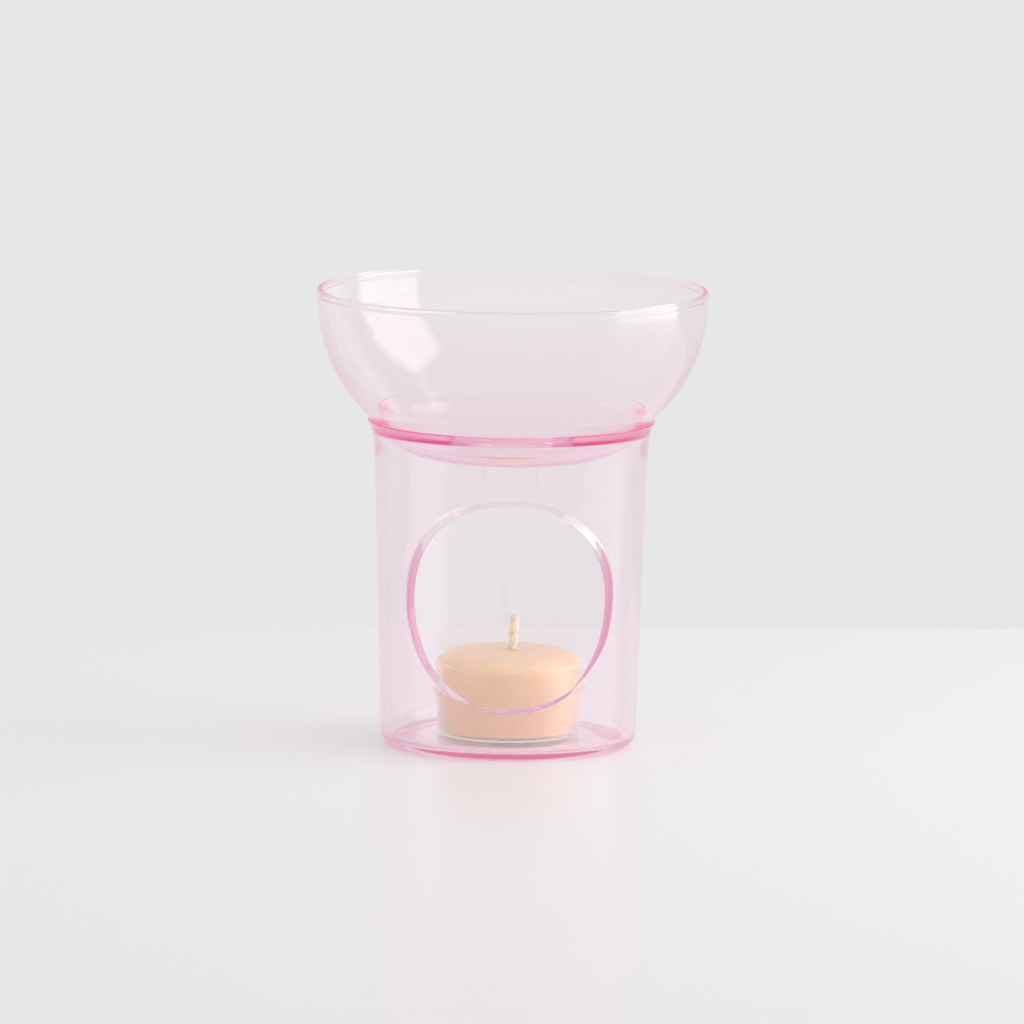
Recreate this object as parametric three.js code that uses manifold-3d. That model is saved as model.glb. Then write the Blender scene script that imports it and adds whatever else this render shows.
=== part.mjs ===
// Essential oil burner of pale pink blown glass: a tapered tube with a closed base and one round
// window, a round-bottomed bowl that sits in the tube's mouth, and a tealight in a clear cup.
// Millimetres, +Z up, origin under the middle of the base, window facing -Y.

import * as THREE from 'three';
import { mergeVertices } from 'three/addons/utils/BufferGeometryUtils.js';
import Module from 'manifold-3d';

// Driving dimensions: the glass body
const tubeHeight = 83; // underside to the crown of the mouth's lip
const baseDiameter = 65; // outside, carried down to the foot
const mouthDiameter = 70.3; // outside, carried up to the crown, inside the flare
const tubeWall = 2.4;
const baseThickness = 2.5;
const footRadius = 3; // outer corner between wall and base
const innerFootRadius = 2; // inner corner between wall and base
const lipDiameter = 73.2; // outside of the flared mouth
const lipTip = 0.7; // thickness of its rounded edge
const lipBand = 1.3; // height of the upright band below that edge
const lipFlare = 6.2; // height over which the wall swings out to that band
const mouthRadius = 2; // between the bevel inside the mouth and the inner wall

// Driving dimensions: the window in the body
const windowWidth = 50; // straight across, between the middles of its bead
const windowHeight = 53;
const windowCentreHeight = 39.6;
const windowBead = 2.7; // thickness of its fire-polished edge

// Driving dimensions: the bowl
const bowlDiameter = 100;
const bowlHeight = 43;
const bowlWall = 2.2;
const bowlFloor = 2.4;
const bellyRadius = 43.2; // outside, from the rim down to the skirt
const skirtLean = THREE.MathUtils.degToRad(42); // of the cone below the belly, from the vertical
const bowlFootRadius = 15; // outside, between skirt and floor
const bowlInnerFootRadius = 12.5;

// Driving dimensions: the tealight
const cupDiameter = 37.8; // outside, at the rim
const cupFootDiameter = 36; // outside, carried down to the foot
const cupHeight = 18;
const cupWall = 0.8;
const cupFootRadius = 1;
const waxRise = 2.8; // top of the wax above the cup's rim
const waxReach = 9; // how far its soft shoulder reaches in
const waxShoulder = 3.2; // height of the shoulder
const wickDiameter = 2;
const wickRise = 9; // above the wax
const wickLean = 1.4; // sideways, where the wick ends
const tabDiameter = 12.5; // disc that holds the wick upright under the wax
const tabThickness = 0.4;
const tabNeckHeight = 4.5;
const tabNeckWall = 0.35;

// Clearances
const seatGap = 0.3; // between pieces that rest on each other
const fitGap = 0.3; // between a piece and the one that it fills or goes through

// Fineness of round forms
const roundSteps = 64;
const smallSteps = 32;
const wickSteps = 12;
const wickSides = 8;
const arcSteps = 3;
const windowSteps = 72;
const beadSides = 10;

const wasm = await Module();
wasm.setup();

// Closed geometry to solid and back, so that pieces can be cut and joined
function toSolid(geometry) {
  const bare = geometry.clone();
  bare.deleteAttribute('normal');
  bare.deleteAttribute('uv');
  const merged = mergeVertices(bare, 1e-4);
  const corners = merged.index.array;
  const triVerts = [];
  for (let first = 0; first < corners.length; first += 3) {
    const [a, b, c] = corners.slice(first, first + 3);
    if (a !== b && b !== c && c !== a) triVerts.push(a, b, c); // a triangle on the axis has collapsed
  }
  const vertProperties = new Float32Array(merged.attributes.position.array);
  const mesh = new wasm.Mesh({ numProp: 3, vertProperties, triVerts: new Uint32Array(triVerts) });
  return new wasm.Manifold(mesh);
}

function toGeometry(solid) {
  const mesh = solid.getMesh();
  const geometry = new THREE.BufferGeometry();
  geometry.setAttribute('position', new THREE.BufferAttribute(new Float32Array(mesh.vertProperties), 3));
  geometry.setIndex(new THREE.BufferAttribute(new Uint32Array(mesh.triVerts), 1));
  geometry.computeVertexNormals();
  return geometry;
}

// Turns a profile drawn as radius and height into a solid of revolution about +Z
function revolve(profile, steps) {
  const geometry = new THREE.LatheGeometry(profile.getPoints(arcSteps), steps);
  geometry.rotateX(Math.PI / 2);
  return geometry;
}

function piece(name, geometry, colour, roughness, metalness = 0) {
  const material = new THREE.MeshStandardMaterial({ color: colour, roughness, metalness });
  const mesh = new THREE.Mesh(geometry, material);
  mesh.name = name;
  return mesh;
}

// The tube's wall leans out a little on its way up
const tubeLean = Math.atan((mouthDiameter - baseDiameter) / 2 / tubeHeight);
const tubeOutside = (z) => baseDiameter / 2 + z * Math.tan(tubeLean);
const tubeInside = (z) => tubeOutside(z) - tubeWall / Math.cos(tubeLean);
const lipCentreRadius = lipDiameter / 2 - lipTip / 2;
const lipCentreHeight = tubeHeight - lipTip / 2;

// Corner between a level floor and a wall above it that leans by `lean` and, carried down, passes
// `radius` at height 0. It is drawn with the floor, outwards for an outside and inwards for an inside.
function footArc(profile, radius, floor, corner, lean, outwards) {
  const rise = floor + corner;
  const centre = radius + rise * Math.tan(lean) - corner / Math.cos(lean);
  if (outwards) {
    profile.moveTo(0, floor);
    profile.lineTo(centre, floor);
    profile.absarc(centre, rise, corner, -Math.PI / 2, -lean, false);
  } else {
    profile.absarc(centre, rise, corner, -lean, -Math.PI / 2, true);
    profile.lineTo(0, floor);
  }
}

// Middle of the round that touches both the bevel inside the mouth, which runs along the bowl's skirt,
// and the inner wall
function mouthRound() {
  const nearAxis = tubeInside(0) + mouthRadius / Math.cos(tubeLean) - lipCentreRadius;
  const offBevel = lipTip / 2 - mouthRadius;
  const drop = offBevel + nearAxis * Math.cos(skirtLean) + lipCentreHeight * Math.sin(skirtLean);
  const z = drop / (Math.sin(skirtLean) - Math.cos(skirtLean) * Math.tan(tubeLean));
  return new THREE.Vector2(tubeInside(z) + mouthRadius / Math.cos(tubeLean), z);
}

function tubeProfile() {
  const bandFoot = lipCentreHeight - lipBand;
  const neck = bandFoot - lipFlare; // below this the outer wall is plain
  const inner = mouthRound();
  const profile = new THREE.Path();
  footArc(profile, tubeOutside(0), 0, footRadius, tubeLean, true);
  profile.lineTo(tubeOutside(neck), neck);
  const bend = neck + lipFlare / 2;
  profile.bezierCurveTo(tubeOutside(bend), bend, lipDiameter / 2, bend, lipDiameter / 2, bandFoot);
  profile.absarc(lipCentreRadius, lipCentreHeight, lipTip / 2, 0, Math.PI - skirtLean, false);
  profile.absarc(inner.x, inner.y, mouthRadius, Math.PI - skirtLean, Math.PI - tubeLean, false);
  footArc(profile, tubeInside(0), baseThickness, innerFootRadius, tubeLean, false);
  return profile;
}

// The window's edge runs round in the middle of the wall: `turn` goes once round it
const windowWallMiddle = (tubeOutside(windowCentreHeight) + tubeInside(windowCentreHeight)) / 2;
const windowHalfAngle = Math.asin(windowWidth / 2 / windowWallMiddle);
function windowPoint(turn, radiusAt) {
  const angle = windowHalfAngle * Math.cos(turn * 2 * Math.PI);
  const z = windowCentreHeight + (windowHeight / 2) * Math.sin(turn * 2 * Math.PI);
  const radius = radiusAt(z);
  return new THREE.Vector3(radius * Math.sin(angle), -radius * Math.cos(angle), z);
}

class WindowEdge extends THREE.Curve {
  getPoint(turn) {
    return windowPoint(turn, (z) => (tubeOutside(z) + tubeInside(z)) / 2);
  }
}

// A plug whose sides stand square to the wall all round: it runs from inside the tube to well outside
function windowPlug() {
  const near = (z) => tubeInside(z) / 2;
  const far = (z) => (2 * tubeOutside(z)) / Math.cos(windowHalfAngle);
  const points = [];
  for (const radiusAt of [near, far]) {
    for (let step = 0; step < windowSteps; step += 1) {
      points.push(windowPoint(step / windowSteps, radiusAt));
    }
  }
  const nearMiddle = points.push(new THREE.Vector3(0, -near(windowCentreHeight), windowCentreHeight)) - 1;
  const farMiddle = points.push(new THREE.Vector3(0, -far(windowCentreHeight), windowCentreHeight)) - 1;
  const faces = [];
  for (let step = 0; step < windowSteps; step += 1) {
    const next = (step + 1) % windowSteps;
    faces.push(nearMiddle, next, step);
    faces.push(farMiddle, windowSteps + step, windowSteps + next);
    faces.push(step, next, windowSteps + next);
    faces.push(step, windowSteps + next, windowSteps + step);
  }
  const geometry = new THREE.BufferGeometry().setFromPoints(points);
  geometry.setIndex(faces);
  return geometry;
}

// The body: tube, less the window, with the window's edge melted to a round bead
function burnerBody() {
  const bead = new THREE.TubeGeometry(new WindowEdge(), windowSteps, windowBead / 2, beadSides, true);
  const tube = toSolid(revolve(tubeProfile(), roundSteps));
  return toGeometry(tube.subtract(toSolid(windowPlug())).add(toSolid(bead)));
}

// The bowl's belly is an arc that runs on as a cone, the skirt, and turns into a flat floor.
// Its own height 0 is under that floor.
const skirtOut = new THREE.Vector2(Math.cos(skirtLean), -Math.sin(skirtLean)); // square to the skirt
const bellyCentre = new THREE.Vector2(bowlDiameter / 2 - bellyRadius, bowlHeight - bowlWall / 2);
const skirtTop = (inset) => bellyCentre.clone().addScaledVector(skirtOut, bellyRadius - inset);
const skirtFoot = (inset) => {
  const top = skirtTop(inset);
  return top.x - top.y * Math.tan(skirtLean); // radius where the skirt would reach height 0
};

function bowlProfile() {
  const rim = bowlDiameter / 2 - bowlWall / 2;
  const profile = new THREE.Path();
  footArc(profile, skirtFoot(0), 0, bowlFootRadius, skirtLean, true);
  profile.absarc(bellyCentre.x, bellyCentre.y, bellyRadius, -skirtLean, 0, false);
  profile.absarc(rim, bellyCentre.y, bowlWall / 2, 0, Math.PI, false);
  profile.absarc(bellyCentre.x, bellyCentre.y, bellyRadius - bowlWall, 0, -skirtLean, true);
  footArc(profile, skirtFoot(bowlWall), bowlFloor, bowlInnerFootRadius, skirtLean, false);
  return profile;
}

// Height at which the bowl stands when its skirt rests in the bevelled mouth
const lipToSkirt = (lipTip / 2 + seatGap) / Math.cos(skirtLean);
const bowlStand = lipCentreHeight - (lipCentreRadius - lipToSkirt - skirtFoot(0)) / Math.tan(skirtLean);

// The tealight's clear cup, from its own foot up
const cupLean = Math.atan((cupDiameter - cupFootDiameter) / 2 / cupHeight);
const cupInside = (z) => cupFootDiameter / 2 + z * Math.tan(cupLean) - cupWall / Math.cos(cupLean);

function cupProfile() {
  const rim = cupHeight - cupWall / 2;
  const middle = cupInside(rim) + cupWall / 2;
  const profile = new THREE.Path();
  footArc(profile, cupFootDiameter / 2, 0, cupFootRadius, cupLean, true);
  profile.absarc(middle, rim, cupWall / 2, 0, Math.PI, false);
  footArc(profile, cupInside(0), cupWall, cupFootRadius, cupLean, false);
  return profile;
}

// The wick stands in the tab's neck and leans a little above it
const contentsFoot = cupWall + seatGap;
const waxTop = cupHeight + waxRise;
const wickFoot = new THREE.Vector3(0, 0, contentsFoot);
const wickBend = new THREE.Vector3(0, 0, contentsFoot + tabNeckHeight + fitGap);
const wickTip = new THREE.Vector3(wickLean, 0, waxTop + wickRise);

function alongWick(diameter) {
  const route = new THREE.QuadraticBezierCurve3(wickFoot, wickBend, wickTip);
  const section = new THREE.Shape().absarc(0, 0, diameter / 2, 0, 2 * Math.PI, false);
  const options = { extrudePath: route, steps: wickSteps, curveSegments: wickSides / 2 };
  return new THREE.ExtrudeGeometry(section, options);
}

// The wax fills the cup, with room for the tab and the wick
function waxProfile() {
  const outside = (z) => cupInside(z) - fitGap;
  const shoulderHeight = waxTop - waxShoulder;
  const shoulderRadius = outside(shoulderHeight);
  const profile = new THREE.Path();
  footArc(profile, outside(0), contentsFoot, cupFootRadius, cupLean, true);
  profile.lineTo(shoulderRadius, shoulderHeight);
  profile.absellipse(shoulderRadius - waxReach, shoulderHeight, waxReach, waxShoulder, 0, Math.PI / 2, false, 0);
  profile.lineTo(0, waxTop);
  return profile;
}

const tabBore = wickDiameter / 2 + fitGap;
const tabNeck = tabBore + tabNeckWall;

function tabProfile(spare) {
  const foot = contentsFoot - spare;
  const inner = spare > 0 ? 0 : tabBore; // with spare room round it, the tab is a solid cutter
  const profile = new THREE.Path();
  profile.moveTo(inner, foot);
  profile.lineTo(tabDiameter / 2 + spare, foot);
  profile.lineTo(tabDiameter / 2 + spare, contentsFoot + tabThickness + spare);
  profile.lineTo(tabNeck + spare, contentsFoot + tabThickness + spare);
  profile.lineTo(tabNeck + spare, contentsFoot + tabNeckHeight + spare);
  profile.lineTo(inner, contentsFoot + tabNeckHeight + spare);
  profile.lineTo(inner, foot);
  return profile;
}

function wax() {
  const channel = alongWick(wickDiameter + 2 * fitGap);
  const room = revolve(tabProfile(fitGap), smallSteps);
  return toGeometry(toSolid(revolve(waxProfile(), smallSteps)).subtract(toSolid(room)).subtract(toSolid(channel)));
}

const pinkGlass = 0xf2d3de;
const clearPlastic = 0xf1f0ee;
const beeswax = 0xecc9ad;
const cotton = 0xdcbf9a;
const tinPlate = 0xb9bbbd;

const burner = new THREE.Group();
burner.add(piece('burner_body', burnerBody(), pinkGlass, 0.02));

const bowl = piece('oil_bowl', revolve(bowlProfile(), roundSteps), pinkGlass, 0.02);
bowl.position.z = bowlStand;
burner.add(bowl);

const tealight = new THREE.Group();
tealight.position.z = baseThickness + seatGap;
tealight.add(piece('tealight_cup', revolve(cupProfile(), smallSteps), clearPlastic, 0.08));
tealight.add(piece('tealight_wax', wax(), beeswax, 0.5));
tealight.add(piece('wick', alongWick(wickDiameter), cotton, 0.9));
tealight.add(piece('wick_tab', revolve(tabProfile(0), smallSteps), tinPlate, 0.35, 1));
burner.add(tealight);

export default burner;
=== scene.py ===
import math

import bpy
from mathutils import Matrix, Vector, noise


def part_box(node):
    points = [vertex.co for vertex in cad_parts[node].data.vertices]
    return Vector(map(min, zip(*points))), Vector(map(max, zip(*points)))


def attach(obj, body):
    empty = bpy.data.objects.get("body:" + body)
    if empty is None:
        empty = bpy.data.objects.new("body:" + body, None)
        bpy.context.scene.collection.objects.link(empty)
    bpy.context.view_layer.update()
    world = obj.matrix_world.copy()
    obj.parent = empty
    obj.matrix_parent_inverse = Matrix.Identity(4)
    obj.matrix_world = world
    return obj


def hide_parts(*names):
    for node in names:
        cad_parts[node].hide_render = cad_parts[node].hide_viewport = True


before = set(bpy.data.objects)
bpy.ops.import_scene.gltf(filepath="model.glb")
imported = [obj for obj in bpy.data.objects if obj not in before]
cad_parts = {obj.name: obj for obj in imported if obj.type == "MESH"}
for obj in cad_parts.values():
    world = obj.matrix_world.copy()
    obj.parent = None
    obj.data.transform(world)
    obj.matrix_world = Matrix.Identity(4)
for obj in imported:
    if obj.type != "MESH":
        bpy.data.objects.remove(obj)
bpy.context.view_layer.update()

# Essential oil burner: a tube of blown pink glass with a round window, a loose glass bowl in its mouth
# and a tealight in a clear cup. Its lengths are written in millimetres and turned to metres in `piece`.
MM = 0.001


def box_mm(node):
    low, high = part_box(node)
    return low / MM, high / MM


body_high = box_mm("burner_body")[1]
bowl_low, bowl_high = box_mm("oil_bowl")
cup_low, cup_high = box_mm("tealight_cup")
wax_low, wax_high = box_mm("tealight_wax")
wick_low, wick_high = box_mm("wick")

# The glass tube
tube_height = body_high.z
tube_foot = 32.5  # outside radius, carried down to the table
tube_mouth = 35.15  # outside radius, carried up to the lip's crown
tube_wall = 2.4
base_edge = 2.1  # height of the base's upper side beside the wall
base_middle = 2.75  # height of its upper side in the middle, just under the tealight
base_hollow = 1.8  # height of its underside inside the ring that it stands on
base_ring = (22.0, 28.5)  # radii between which the underside comes down to that ring
foot_round = 3.0
inner_foot_round = 1.6
plain_wall = (6.5, tube_height - 11)  # heights between which the wall is straight
lip_outside = body_high.x
lip_round = 0.25
lip_flare = (10.4, 4)  # height over which the mouth opens like a trumpet, and the power of that curve
lip_inner_flare = (7.5, 2)  # the same inside, below the bevel
lip_opens = 30.0  # degrees that the outside leans at the edge
lip_bevel = 43.6  # degrees that the bevel inside leans from the vertical, a little more than the skirt
lip_inside = 33.8  # radius where the bevel ends
lip_shoulder = 1.5  # round between the bevel and the inside of the wall
lip_lean = 11.7  # degrees that the inside of the wall leans where it meets that round
seat_gap = 0.06
seat_height = tube_height - 2  # middle of the bevel
seat_true = 3  # both glass pieces are ground true this far above and below the seat

# Its window
window_width = 50.0
window_height = 53.0
window_middle = 39.6
window_edge = 1.28  # half the thickness of its fire-polished edge
window_edge_round = 0.5  # of the edge's two corners
window_ease = 3.4  # distance over which the wall thickens into the melted edge
window_sway = 0.35  # how far its outline wavers
window_swell = 0.1  # share by which its edge is thicker or thinner

# The bowl
bowl_stand = bowl_low.z
bowl_rim = bowl_high.x
bowl_wall = 2.2
bowl_floor = 2.4
rim_bead = 0.95  # radius of the fire-polished edge
rim_neck = 0.2  # how far the wall stands back below that edge, outside and inside
belly_round = 43.2
skirt_lean = 42.0  # degrees from the vertical
bowl_foot_round = 15.0
bowl_inner_round = 12.5
belly_middle = (bowl_rim - belly_round, bowl_high.z - bowl_wall / 2)

# The tealight
cup_rim = cup_high.x
cup_foot = 18.0
cup_wall = 0.45
cup_foot_round = 0.7
cup_inner_round = 0.5
cup_lip = 1.3  # height of the thicker band round the rim
cup_step = (0.12, 0.3)  # how far the band stands out, and the height over which it does
cup_stands_up = 0.6  # how far the rim stands above that of the solid
wax_gap = 0.12  # between wax and cup
wax_top = wax_high.z + 0.4  # the wax stands a little above the solid
wax_foot_round = 0.6
wax_shoulder = (7.0, 3.6)  # how far the soft edge of the wax reaches in, and how high it rises
wax_crown = 0.15  # rise of its top from there to the middle
wax_hollow = (0.5, 4.5)  # depth and radius of the hollow round the wick
wax_collar = (1.0, 1.5)  # height and radius of the wax drawn up the wick
wax_ripple = (0.12, 6)  # height and length of the waves in its skin
wick_radius = 1.2
wick_lean = 1.4
wick_straight = 4.8  # height over which it hardly leans
wick_leaves_wax = 0.79  # as a share of its way from foot to tip
wick_twist = 6.5  # height of one turn of its strands

# Fineness of round forms
glass_columns = 288
small_columns = 144


def arc(centre, radius, start, end, steps):
    """Points (radius, height) along an arc. Angles in degrees, 0 outwards and 90 up."""
    points = []
    for step in range(steps + 1):
        angle = math.radians(start + (end - start) * step / steps)
        points.append((centre[0] + radius * math.cos(angle), centre[1] + radius * math.sin(angle)))
    return points


def soft(share):
    """Eases a share from 0 to 1 in and out."""
    return share * share * (3 - 2 * share)


def spin(profile, columns, is_open=None):
    """Turns a profile round the axis, from the middle of the underside out, up and back to it."""
    points = []
    rings = []
    for radius, height in profile:
        count = columns if radius > 0 else 1
        rings.append(range(len(points), len(points) + count))
        for column in range(count):
            turn = 2 * math.pi * column / columns
            points.append(Vector((radius * math.sin(turn), -radius * math.cos(turn), height)))
    faces = []
    for row, (lower, upper) in enumerate(zip(rings, rings[1:])):
        for column in range(columns):
            if is_open and is_open(row, column):
                continue
            pair = (column, (column + 1) % columns)
            corners = [lower[side % len(lower)] for side in pair]
            corners += [upper[side % len(upper)] for side in reversed(pair)]
            faces.append(list(dict.fromkeys(corners)))
    return points, faces, rings


def uneven(points, size, amount, seed):
    """Moves points in or out a little, as glass that was turned and blown by hand is never quite round.
    Where the bowl sits in the tube it is ground true."""
    for point in points:
        reach = Vector((point.x, point.y))
        if reach.length > 0:
            free = min(max(abs(point.z - seat_height) / seat_true - 1, 0), 1)
            sway = noise.noise(point / size + Vector((seed, 0, 0))) - 0.5
            point.xy = reach * (1 + free * amount * sway / max(reach.length, size))


def piece(name, points, faces, material, body, slot, node):
    mesh = bpy.data.meshes.new(name)
    mesh.from_pydata([point * MM for point in points], [], faces)
    mesh.shade_smooth()
    mesh.materials.append(material)
    made = bpy.data.objects.new(name, mesh)
    bpy.context.scene.collection.objects.link(made)
    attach(made, body)
    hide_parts(node)


def tube_radius(height, side):
    """side is 1 for the outside of the wall, -1 for the inside, 0 for its middle."""
    outside = tube_foot + (tube_mouth - tube_foot) * height / tube_height
    return outside - tube_wall * (1 - side) / 2


def skirt_height(radius, inset):
    """Height of the bowl's conical skirt, or of a line beside it, at a radius."""
    lean = math.radians(skirt_lean)
    reach = belly_round - inset
    start = (belly_middle[0] + reach * math.cos(lean), belly_middle[1] - reach * math.sin(lean))
    return start[1] + (radius - start[0]) / math.tan(lean)


def cut_slant(way):
    """How far the cut of the window opens at an angle round it: outwards at the top, a little at the
    sides and more at the lower left, and inwards at the foot."""
    low_left = -2.23
    foot = -1.5
    foot_spread = 0.75 if way > foot else 0.4
    slant = 0.1 + max(math.sin(way), 0)
    slant += 0.5 * math.exp(-(((way - low_left) / 0.35) ** 2))
    slant -= 1.1 * math.exp(-(((way - foot) / foot_spread) ** 2))
    return slant


def waver(way, waves, seed):
    """Smooth unevenness at an angle round the window, from -1 to 1."""
    return noise.noise(Vector((waves * math.cos(way), waves * math.sin(way), seed)))


def burner_body():
    """The tube with its window: a turned shell, left open round the window, and a patch that runs from
    the opening's border to the window's edge, over the edge and back along the inside."""
    rows = 46
    low, high = plain_wall
    heights = [low + (high - low) * row / (rows - 1) for row in range(rows)]
    foot = arc((tube_foot - foot_round, foot_round), foot_round, -90, 0, 10)

    # The mouth opens like a trumpet and is bevelled inside, where the skirt of the bowl sits in it
    lean = math.radians(lip_bevel)
    seat = Vector((lip_inside, skirt_height(lip_inside, -seat_gap)))
    along = Vector((math.sin(lean), math.cos(lean)))
    outwards = Vector((math.cos(lean), -math.sin(lean)))
    tip = seat + lip_round * outwards
    tip += along * (lip_outside - lip_round - tip.x) / along.x
    edge = arc(tip, lip_round, -lip_opens, 180 - lip_bevel, 8)
    shoulder = arc(seat + lip_shoulder * outwards, lip_shoulder, 180 - lip_bevel, 180 - lip_lean, 8)

    def mouth(side, end, flare):
        """The wall below the mouth, from where it starts to open up to the end point."""
        tall, power = flare
        reach = end[0] - tube_radius(end[1], side)
        points = []
        for step in range(16):
            share = step / 16
            height = end[1] - tall * (1 - share)
            points.append((tube_radius(height, side) + reach * share**power, height))
        return points

    lip = mouth(1, edge[0], lip_flare) + edge + shoulder
    lip += mouth(-1, shoulder[-1], lip_inner_flare)[::-1]

    # The base is a little higher in the middle, and stands on a ring
    inner_foot_middle = (tube_radius(base_edge, -1) - inner_foot_round, base_edge + inner_foot_round)
    inner_foot = arc(inner_foot_middle, inner_foot_round, 0, -90, 8)
    floor = []
    for step in range(1, 9):
        share = 1 - step / 8
        height = base_middle + (base_edge - base_middle) * share**4
        floor.append((inner_foot_middle[0] * share, height))
    profile = [(0, base_hollow)]
    for step in range(13):
        share = step / 12
        radius = base_ring[0] + (base_ring[1] - base_ring[0]) * share
        profile.append((radius, base_hollow * (1 - soft(share))))
    profile += foot
    outer_row = len(profile)
    profile += [(tube_radius(height, 1), height) for height in heights] + lip
    inner_row = len(profile)
    profile += [(tube_radius(height, -1), height) for height in reversed(heights)]
    profile += inner_foot + floor

    # The patch spans these rows of the wall, and as many columns to either side of the front
    first = 1
    last = rows - 2
    wide = round(glass_columns / 6)

    def is_open(row, column):
        sideways = (column + wide) % glass_columns < 2 * wide
        outside = outer_row + first <= row < outer_row + last
        inside = inner_row + rows - 1 - last <= row < inner_row + rows - 1 - first
        return sideways and (outside or inside)

    points, faces, rings = spin(profile, glass_columns, is_open)

    border = [(column, first) for column in range(-wide, wide)]
    border += [(wide, row) for row in range(first, last)]
    border += [(column, last) for column in range(wide, -wide, -1)]
    border += [(-wide, row) for row in range(last, first, -1)]

    girth = tube_radius(window_middle, 0)
    half_wide = girth * math.asin(window_width / 2 / girth)  # along the wall
    half_high = window_height / 2
    half_wall = tube_wall / 2
    chains = []
    for column, row in border:
        turn = 2 * math.pi * column / glass_columns
        start = Vector((girth * turn, heights[row]))
        way = math.atan2((start.y - window_middle) / half_high, start.x / half_wide)
        away = Vector((math.cos(way) / half_wide, math.sin(way) / half_high)).normalized()
        sway = window_sway * waver(way, 2.2, 3.0)
        thick = window_edge * (1 + window_swell * waver(way, 3.1, 8.0))
        edge = Vector((half_wide * math.cos(way), window_middle + half_high * math.sin(way)))
        edge += sway * away
        near = edge + window_ease * away
        corner = edge + window_edge_round * away
        slant = cut_slant(way)
        # Points along the wall, how far they are out of its middle, and how far the slant has set in
        section = []
        for step in range(1, 7):
            section.append((start.lerp(near, step / 6), half_wall, 0))
        for step in range(1, 9):
            set_in = soft(step / 8)
            out = half_wall + (thick - half_wall) * set_in
            section.append((near.lerp(corner, step / 8), out, set_in))
        for step in range(1, 7):
            angle = math.radians(90 - 90 * step / 6)
            out = thick - window_edge_round + window_edge_round * math.sin(angle)
            section.append((corner - window_edge_round * math.cos(angle) * away, out, 1))
        for step in range(1, 4):
            section.append((edge, (thick - window_edge_round) * (1 - step / 3), 1))
        section += [(spot, -out, set_in) for spot, out, set_in in reversed(section[:-1])]
        chain = [rings[outer_row + row][column % glass_columns]]
        for spot, out, set_in in section:
            spot = spot + set_in * slant * out / window_edge * away
            radius = tube_radius(spot.y, 0) + out
            angle = spot.x / girth
            chain.append(len(points))
            points.append(Vector((radius * math.sin(angle), -radius * math.cos(angle), spot.y)))
        chain.append(rings[inner_row + rows - 1 - row][column % glass_columns])
        chains.append(chain)
    for here, there in zip(chains, chains[1:] + chains[:1]):
        for step in range(len(here) - 1):
            faces.append([here[step], there[step], there[step + 1], here[step + 1]])
    uneven(points, size=30, amount=0.16, seed=1.5)
    return points, faces


def oil_bowl():
    """The bowl: a round belly that runs on as a cone, the skirt, and turns into a level floor."""
    lean = math.radians(skirt_lean)

    def foot(inset, floor, corner):
        """Middle of the round between the skirt and the floor."""
        height = bowl_stand + floor + corner
        slack = (height - skirt_height(0, inset)) * math.tan(lean)
        return (slack - corner / math.cos(lean), height)

    def belly(skirt_inset, rim_inset):
        """The belly from the skirt up to the rim, drawn in by an inset that changes on the way."""
        points = []
        for step in range(41):
            share = step / 40
            reach = belly_round - skirt_inset - (rim_inset - skirt_inset) * soft(share)
            angle = -lean * (1 - share)
            height = belly_middle[1] - (bowl_wall / 2) * share + reach * math.sin(angle)
            points.append((belly_middle[0] + reach * math.cos(angle), height))
        return points

    bead_start = math.degrees(math.acos(1 - rim_neck / rim_bead))
    bead_middle = (bowl_rim - rim_bead, bowl_high.z - rim_bead)
    profile = [(0, bowl_stand)]
    profile += arc(foot(0, 0, bowl_foot_round), bowl_foot_round, -90, -skirt_lean, 14)
    profile += belly(0, rim_neck)
    profile += arc(bead_middle, rim_bead, -bead_start, 180 + bead_start, 20)
    profile += belly(bowl_wall, 2 * rim_bead - rim_neck)[::-1]
    inner_foot = foot(bowl_wall, bowl_floor, bowl_inner_round)
    profile += arc(inner_foot, bowl_inner_round, -skirt_lean, -90, 14)
    profile.append((0, bowl_stand + bowl_floor))
    points, faces = spin(profile, glass_columns)[:2]
    uneven(points, size=40, amount=0.2, seed=7.5)
    return points, faces


def cup_inside(height):
    """Inner radius of the tealight's cup at a height above its foot."""
    return cup_foot + (cup_rim - cup_foot) * height / (cup_high.z - cup_low.z) - cup_wall


def tealight_cup():
    """The cup: thin and slightly conical, with a thicker band round the rim."""
    tall = cup_high.z + cup_stands_up - cup_low.z
    rim = tall - cup_wall / 2
    band = tall - cup_lip
    band_radius = cup_inside(band) + cup_wall
    inner_foot = (cup_inside(cup_wall) - cup_inner_round, cup_wall + cup_inner_round)
    profile = [(0, 0)]
    profile += arc((cup_foot - cup_foot_round, cup_foot_round), cup_foot_round, -90, 0, 6)
    profile += [(band_radius - cup_step[0], band - cup_step[1]), (band_radius, band)]
    profile += arc((cup_rim - cup_wall / 2, rim), cup_wall / 2, 0, 180, 10)
    profile.append((cup_inside(band), band))
    profile += arc(inner_foot, cup_inner_round, 0, -90, 6)
    profile.append((0, cup_wall))
    profile = [(radius, height + cup_low.z) for radius, height in profile]
    return spin(profile, small_columns)[:2]


def wick_route(share):
    """Point on the wick's middle line, from its foot to its tip."""
    foot = Vector((0, 0, wick_low.z))
    bend = Vector((0, 0, wick_low.z + wick_straight))
    tip = Vector((wick_lean, 0, wick_high.z))
    return foot.lerp(bend, share).lerp(bend.lerp(tip, share), share)


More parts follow.
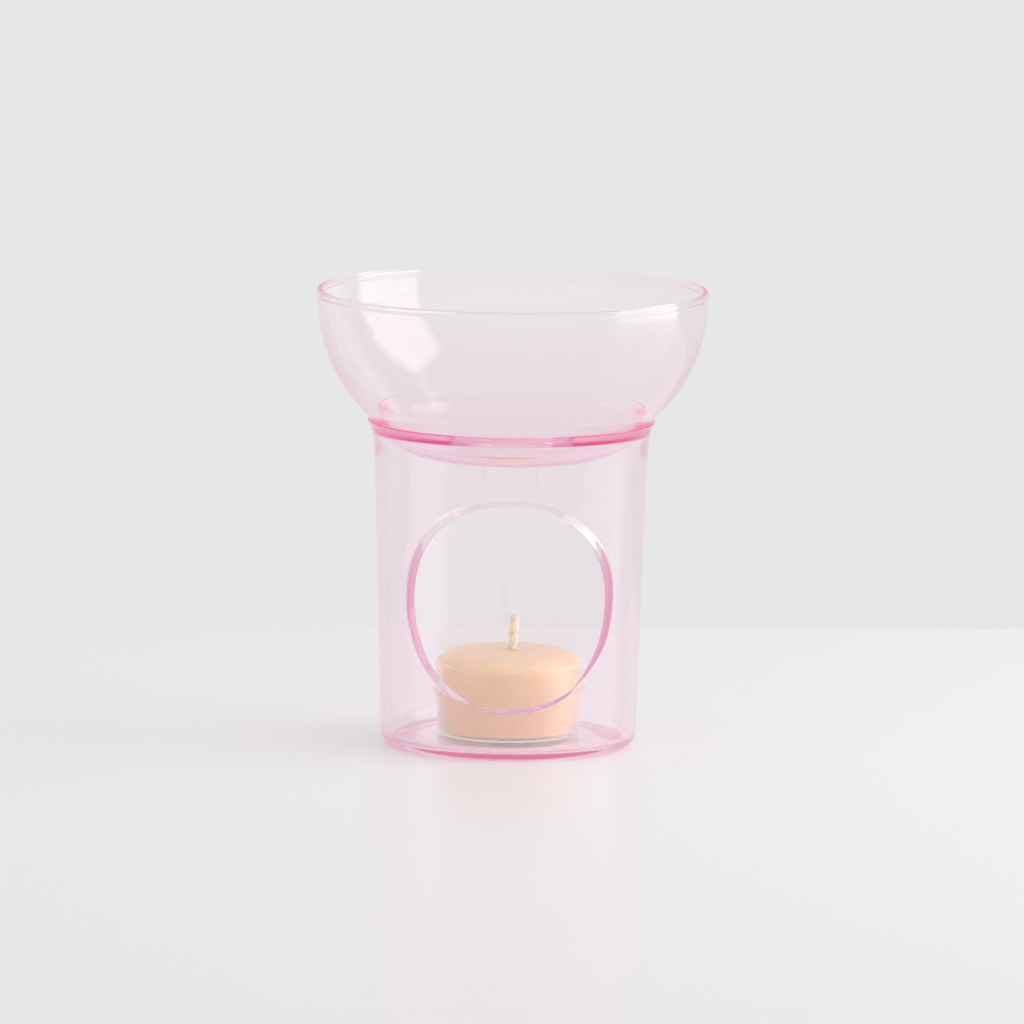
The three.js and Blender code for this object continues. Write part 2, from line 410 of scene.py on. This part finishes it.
def tealight_wax():
    """Poured wax with a soft shoulder. It is drawn up round the wick, out of a shallow hollow."""
    reach, rise = wax_shoulder
    shoulder_height = wax_top - rise
    edge = cup_inside(shoulder_height - cup_low.z) - wax_gap
    foot = cup_inside(wax_low.z - cup_low.z) - wax_gap
    foot_middle = (foot - wax_foot_round, wax_low.z + wax_foot_round)
    profile = [(0, wax_low.z)] + arc(foot_middle, wax_foot_round, -90, 0, 5)
    for step in range(13):
        angle = math.radians(90 * step / 12)
        radius = edge - reach + reach * math.cos(angle)
        profile.append((radius, shoulder_height + rise * math.sin(angle)))
    for step in range(1, 31):
        share = 1 - step / 30
        profile.append(((edge - reach) * share, wax_top + wax_crown * (1 - share * share)))
    points, faces = spin(profile, small_columns)[:2]
    stem = wick_route(wick_leaves_wax)
    for point in points:
        if point.z > shoulder_height:
            away = (point.xy - stem.xy).length
            point.z -= wax_hollow[0] * math.exp(-((away / wax_hollow[1]) ** 2))
            point.z += wax_collar[0] * math.exp(-((away / wax_collar[1]) ** 2))
            point.z += wax_ripple[0] * noise.noise(point / wax_ripple[1])
    return points, faces


def wick():
    """Three cotton strands twisted together."""
    strands = 3
    steps = 120
    sides = 12
    strand = wick_radius / 2  # radius of one strand
    length = wick_high.z - wick_low.z
    points = []
    faces = []
    for turn in range(strands):
        rings = []
        for step in range(steps + 1):
            share = step / steps
            middle = wick_route(share)
            before = wick_route(max(share - 0.01, 0))
            after = wick_route(min(share + 0.01, 1))
            along = (after - before).normalized()
            side = along.cross(Vector((0, 1, 0))).normalized()
            front = along.cross(side)
            angle = 2 * math.pi * (turn / strands + share * length / wick_twist)
            outwards = side * math.cos(angle) + front * math.sin(angle)
            middle = middle + outwards * (wick_radius - strand)
            ring = []
            for corner in range(sides):
                way = 2 * math.pi * corner / sides
                ring.append(len(points))
                points.append(middle + (side * math.cos(way) + front * math.sin(way)) * strand)
            rings.append(ring)
        for lower, upper in zip(rings, rings[1:]):
            for corner in range(sides):
                following = (corner + 1) % sides
                faces.append([lower[corner], upper[corner], upper[following], lower[following]])
        faces.append(rings[0])
        faces.append(rings[-1][::-1])
    return points, faces


# Materials


def colour(code):
    """An sRGB hex colour, turned to linear."""
    linear = []
    for place in (0, 2, 4):
        value = int(code[place : place + 2], 16) / 255
        linear.append(value / 12.92 if value <= 0.04045 else ((value + 0.055) / 1.055) ** 2.4)
    return (*linear, 1)


def add(tree, kind, inputs, **settings):
    """Adds a node. inputs gives each socket, by name or place, its value or the output linked to it."""
    node = tree.nodes.new(kind)
    for name, value in settings.items():
        setattr(node, name, value)
    for name, value in inputs.items():
        if isinstance(value, bpy.types.NodeSocket):
            tree.links.new(value, node.inputs[name])
        else:
            node.inputs[name].default_value = value
    return node.outputs


def material(name):
    made = bpy.data.materials.new(name)
    made.use_nodes = True
    made.node_tree.nodes.clear()
    return made, made.node_tree


def pink_glass():
    """Borosilicate glass tinted in the melt: almost clear face on, deep pink where one looks along the
    wall. Drawing the tube leaves faint upright waves in it."""
    made, tree = material("pink_borosilicate_glass")
    place = add(tree, "ShaderNodeTexCoord", {})["Object"]
    drawn = add(tree, "ShaderNodeMapping", {"Vector": place, "Scale": (1, 1, 0.12)})["Vector"]
    wave = {"Vector": drawn, "Scale": 1 / (9 * MM), "Detail": 1}
    waves = add(tree, "ShaderNodeTexNoise", wave)["Fac"]
    relief = {"Height": waves, "Strength": 1, "Distance": 0.012 * MM}
    bump = add(tree, "ShaderNodeBump", relief)["Normal"]
    clear = {"Base Color": colour("ffffff"), "Roughness": 0.0, "IOR": 1.47, "Transmission Weight": 1}
    surface = add(tree, "ShaderNodeBsdfPrincipled", {**clear, "Normal": bump})["BSDF"]
    # Through two walls of 2.4 mm a ninth of the green is lost, half as much of the blue, hardly any red
    tint = add(tree, "ShaderNodeVolumeAbsorption", {"Color": colour("fa3cb4"), "Density": 25})["Volume"]
    add(tree, "ShaderNodeOutputMaterial", {"Surface": surface, "Volume": tint})
    return made


def clear_plastic():
    """Moulded polycarbonate, a little hazy from the mould: the wax shows through it softly, and only the
    rim and the foot draw thin bright lines."""
    made, tree = material("clear_polycarbonate")
    place = add(tree, "ShaderNodeTexCoord", {})["Object"]
    flow = add(tree, "ShaderNodeTexNoise", {"Vector": place, "Scale": 1 / (5 * MM), "Detail": 2})["Fac"]
    relief = {"Height": flow, "Strength": 1, "Distance": 0.01 * MM}
    bump = add(tree, "ShaderNodeBump", relief)["Normal"]
    hazy = {"Base Color": colour("fffefc"), "Roughness": 0.2, "IOR": 1.5, "Transmission Weight": 1}
    surface = add(tree, "ShaderNodeBsdfPrincipled", {**hazy, "Normal": bump})["BSDF"]
    add(tree, "ShaderNodeOutputMaterial", {"Surface": surface})
    return made


def candle_wax():
    """Beige wax: light sinks in and comes out warmer, and the skin has a soft sheen."""
    made, tree = material("beige_candle_wax")
    place = add(tree, "ShaderNodeTexCoord", {})["Object"]
    cloud = add(tree, "ShaderNodeTexNoise", {"Vector": place, "Scale": 1 / (8 * MM), "Detail": 3})["Fac"]
    tones = {0: cloud, 6: colour("dfc3a9"), 7: colour("e9d1ba")}  # 6 and 7 take colours, and 2 gives one
    tone = add(tree, "ShaderNodeMix", tones, data_type="RGBA")[2]
    grain = {"Vector": place, "Scale": 1 / (1.2 * MM), "Detail": 3}
    skin = add(tree, "ShaderNodeTexNoise", grain)["Fac"]
    bump = add(tree, "ShaderNodeBump", {"Height": skin, "Strength": 1, "Distance": 0.03 * MM})["Normal"]
    wax = {"Base Color": tone, "Roughness": 0.38, "IOR": 1.44, "Normal": bump}
    depth = (9 * MM, 3.5 * MM, 2 * MM)
    inside = {"Subsurface Weight": 1, "Subsurface Radius": depth, "Subsurface Scale": 1.0}
    surface = add(tree, "ShaderNodeBsdfPrincipled", {**wax, **inside})["BSDF"]
    add(tree, "ShaderNodeOutputMaterial", {"Surface": surface})
    return made


def waxed_cotton():
    """Twisted cotton soaked in wax: matt, with fine fibres along the strands."""
    made, tree = material("waxed_cotton")
    place = add(tree, "ShaderNodeTexCoord", {})["Object"]
    fine = {"Vector": place, "Scale": 1 / (0.35 * MM), "Detail": 4}
    fibres = add(tree, "ShaderNodeTexNoise", fine)["Fac"]
    tone = add(tree, "ShaderNodeValToRGB", {"Fac": fibres})["Color"]
    ends = tree.nodes[-1].color_ramp.elements
    ends[0].color = colour("e0c6a2")
    ends[1].color = colour("fff5e8")
    relief = {"Height": fibres, "Strength": 1, "Distance": 0.12 * MM}
    bump = add(tree, "ShaderNodeBump", relief)["Normal"]
    cotton = {"Base Color": tone, "Roughness": 0.85, "Normal": bump}
    surface = add(tree, "ShaderNodeBsdfPrincipled", cotton)["BSDF"]
    add(tree, "ShaderNodeOutputMaterial", {"Surface": surface})
    return made


def tinplate():
    """Bare rolled tinplate: bright metal with fine rolling lines one way."""
    made, tree = material("tinplate")
    place = add(tree, "ShaderNodeTexCoord", {})["Object"]
    rolled = add(tree, "ShaderNodeMapping", {"Vector": place, "Scale": (1, 0.05, 1)})["Vector"]
    fine = {"Vector": rolled, "Scale": 1 / (0.2 * MM), "Detail": 3}
    lines = add(tree, "ShaderNodeTexNoise", fine)["Fac"]
    relief = {"Height": lines, "Strength": 1, "Distance": 0.01 * MM}
    bump = add(tree, "ShaderNodeBump", relief)["Normal"]
    tin = {"Base Color": colour("c9cacb"), "Metallic": 1, "Roughness": 0.32, "Normal": bump}
    surface = add(tree, "ShaderNodeBsdfPrincipled", tin)["BSDF"]
    add(tree, "ShaderNodeOutputMaterial", {"Surface": surface})
    return made


def white_table():
    """Satin white table top, which mirrors what stands on it very faintly."""
    made, tree = material("satin_white_table")
    place = add(tree, "ShaderNodeTexCoord", {})["Object"]
    grain = add(tree, "ShaderNodeTexNoise", {"Vector": place, "Scale": 1 / (2 * MM), "Detail": 3})["Fac"]
    tone = add(tree, "ShaderNodeValToRGB", {"Fac": grain})["Color"]
    ends = tree.nodes[-1].color_ramp.elements
    ends[0].color = colour("e6e4e5")
    ends[1].color = colour("ebe9ea")
    top = {"Base Color": tone, "Roughness": 0.3}
    surface = add(tree, "ShaderNodeBsdfPrincipled", top)["BSDF"]
    add(tree, "ShaderNodeOutputMaterial", {"Surface": surface})
    return made


glass = pink_glass()
piece("glass_body", *burner_body(), glass, "body", "pink_glass", "burner_body")
piece("glass_bowl", *oil_bowl(), glass, "bowl", "pink_glass", "oil_bowl")
piece("clear_cup", *tealight_cup(), clear_plastic(), "tealight", "clear_plastic", "tealight_cup")
piece("poured_wax", *tealight_wax(), candle_wax(), "tealight", "wax", "tealight_wax")
piece("twisted_wick", *wick(), waxed_cotton(), "tealight", "cotton", "wick")
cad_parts["wick_tab"].data.materials.clear()
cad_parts["wick_tab"].data.materials.append(tinplate())

# Stage, in metres: a white table whose back edge is a little behind the burner, with only the pale room
# beyond it
scene = bpy.context.scene
table_half = 1.6
table_back = 0.188
table_skew = 0.09  # its back edge runs a little askew
table_top = -0.0001
table_corners = [
    (-table_half, -table_half, table_top),
    (table_half, -table_half, table_top),
    (table_half, table_back + table_skew, table_top),
    (-table_half, table_back - table_skew, table_top),
]
table_mesh = bpy.data.meshes.new("table")
table_mesh.from_pydata(table_corners, [], [(0, 1, 2, 3)])
table_mesh.materials.append(white_table())
table = bpy.data.objects.new("table", table_mesh)
scene.collection.objects.link(table)

# The room is brighter in front of the burner than at the wall behind it
world = bpy.data.worlds.new("pale_room")
world.use_nodes = True
tree = world.node_tree
tree.nodes.clear()
to_front = (0, -0.9, -0.45)
wall_glow = 1.0
front_glow = 1.45
way = add(tree, "ShaderNodeTexCoord", {})["Generated"]
front = add(tree, "ShaderNodeVectorMath", {0: way, 1: to_front}, operation="DOT_PRODUCT")["Value"]
ends = {"Value": front, "From Min": -0.5, "From Max": 0.85, "To Min": wall_glow, "To Max": front_glow}
glow = add(tree, "ShaderNodeMapRange", ends, interpolation_type="SMOOTHSTEP")["Result"]
pale = {"Color": colour("e7e7e8"), "Strength": glow}
room = add(tree, "ShaderNodeBackground", pale)["Background"]
add(tree, "ShaderNodeOutputWorld", {"Surface": room})
scene.world = world

# A tall soft light on the right, whose mirror image is the bright patch in the bowl. Its edges are soft
lamp_place = (0.62, -0.035, 0.42)
lamp_wide = 0.63
lamp_tall = 1.0
lamp_full = (1, 0.24, 0.36)  # it is fully bright this far from its middle
lamp = bpy.data.lights.new("softbox", "AREA")
lamp.shape = "RECTANGLE"
lamp.size = lamp_tall
lamp.size_y = lamp_wide
lamp.energy = 4.3
lamp.use_nodes = True
tree = lamp.node_tree
tree.nodes.clear()
spot = add(tree, "ShaderNodeNewGeometry", {})["Position"]
away = add(tree, "ShaderNodeVectorMath", {0: spot, 1: lamp_place}, operation="SUBTRACT")["Vector"]
reach = add(tree, "ShaderNodeVectorMath", {0: away}, operation="ABSOLUTE")["Vector"]
fade = {"Vector": reach, "From Min": (0, lamp_wide / 2, lamp_tall / 2), "From Max": lamp_full}
smooth = {"data_type": "FLOAT_VECTOR", "interpolation_type": "SMOOTHSTEP"}
edges = add(tree, "ShaderNodeMapRange", fade, **smooth)["Vector"]
edge = add(tree, "ShaderNodeSeparateXYZ", {"Vector": edges})
glow = add(tree, "ShaderNodeMath", {0: edge["Y"], 1: edge["Z"]}, operation="MULTIPLY")["Value"]
shine = add(tree, "ShaderNodeEmission", {"Strength": glow})["Emission"]
add(tree, "ShaderNodeOutputLight", {"Surface": shine})
lamp_stand = bpy.data.objects.new("softbox", lamp)
lamp_stand.location = lamp_place
lamp_stand.rotation_euler = (0, math.radians(90), 0)
lamp_stand.visible_camera = False
scene.collection.objects.link(lamp_stand)

# Camera: a long lens that looks down on the rim a little
camera_place = (0.0004, -2.5198, 0.4256)
camera_down = 8.27  # degrees
camera_roll = 0.6  # degrees
camera = bpy.data.cameras.new("camera")
camera.sensor_width = 36
camera.lens = 351.6
camera.clip_end = 50
camera_stand = bpy.data.objects.new("camera", camera)
look_down = Matrix.Rotation(math.radians(90 - camera_down), 4, "X")
roll = Matrix.Rotation(math.radians(camera_roll), 4, "Z")
camera_stand.matrix_world = Matrix.Translation(camera_place) @ look_down @ roll
scene.collection.objects.link(camera_stand)
scene.camera = camera_stand

scene.view_settings.view_transform = "Standard"

# Light that is caught in a glass wall leaks out through its flaws after a few reflections: from there on
# it is taken from the room. The tiny distance keeps narrow gaps, such as the seat's, from going dark
caught_reflections = 6
most_bounces = 40
scene.cycles.use_fast_gi = True
scene.cycles.fast_gi_method = "REPLACE"
scene.cycles.ao_bounces_render = caught_reflections
world.light_settings.distance = 0.01 * MM
scene.cycles.max_bounces = most_bounces
scene.cycles.transmission_bounces = most_bounces
scene.cycles.glossy_bounces = most_bounces
scene.cycles.blur_glossy = 0
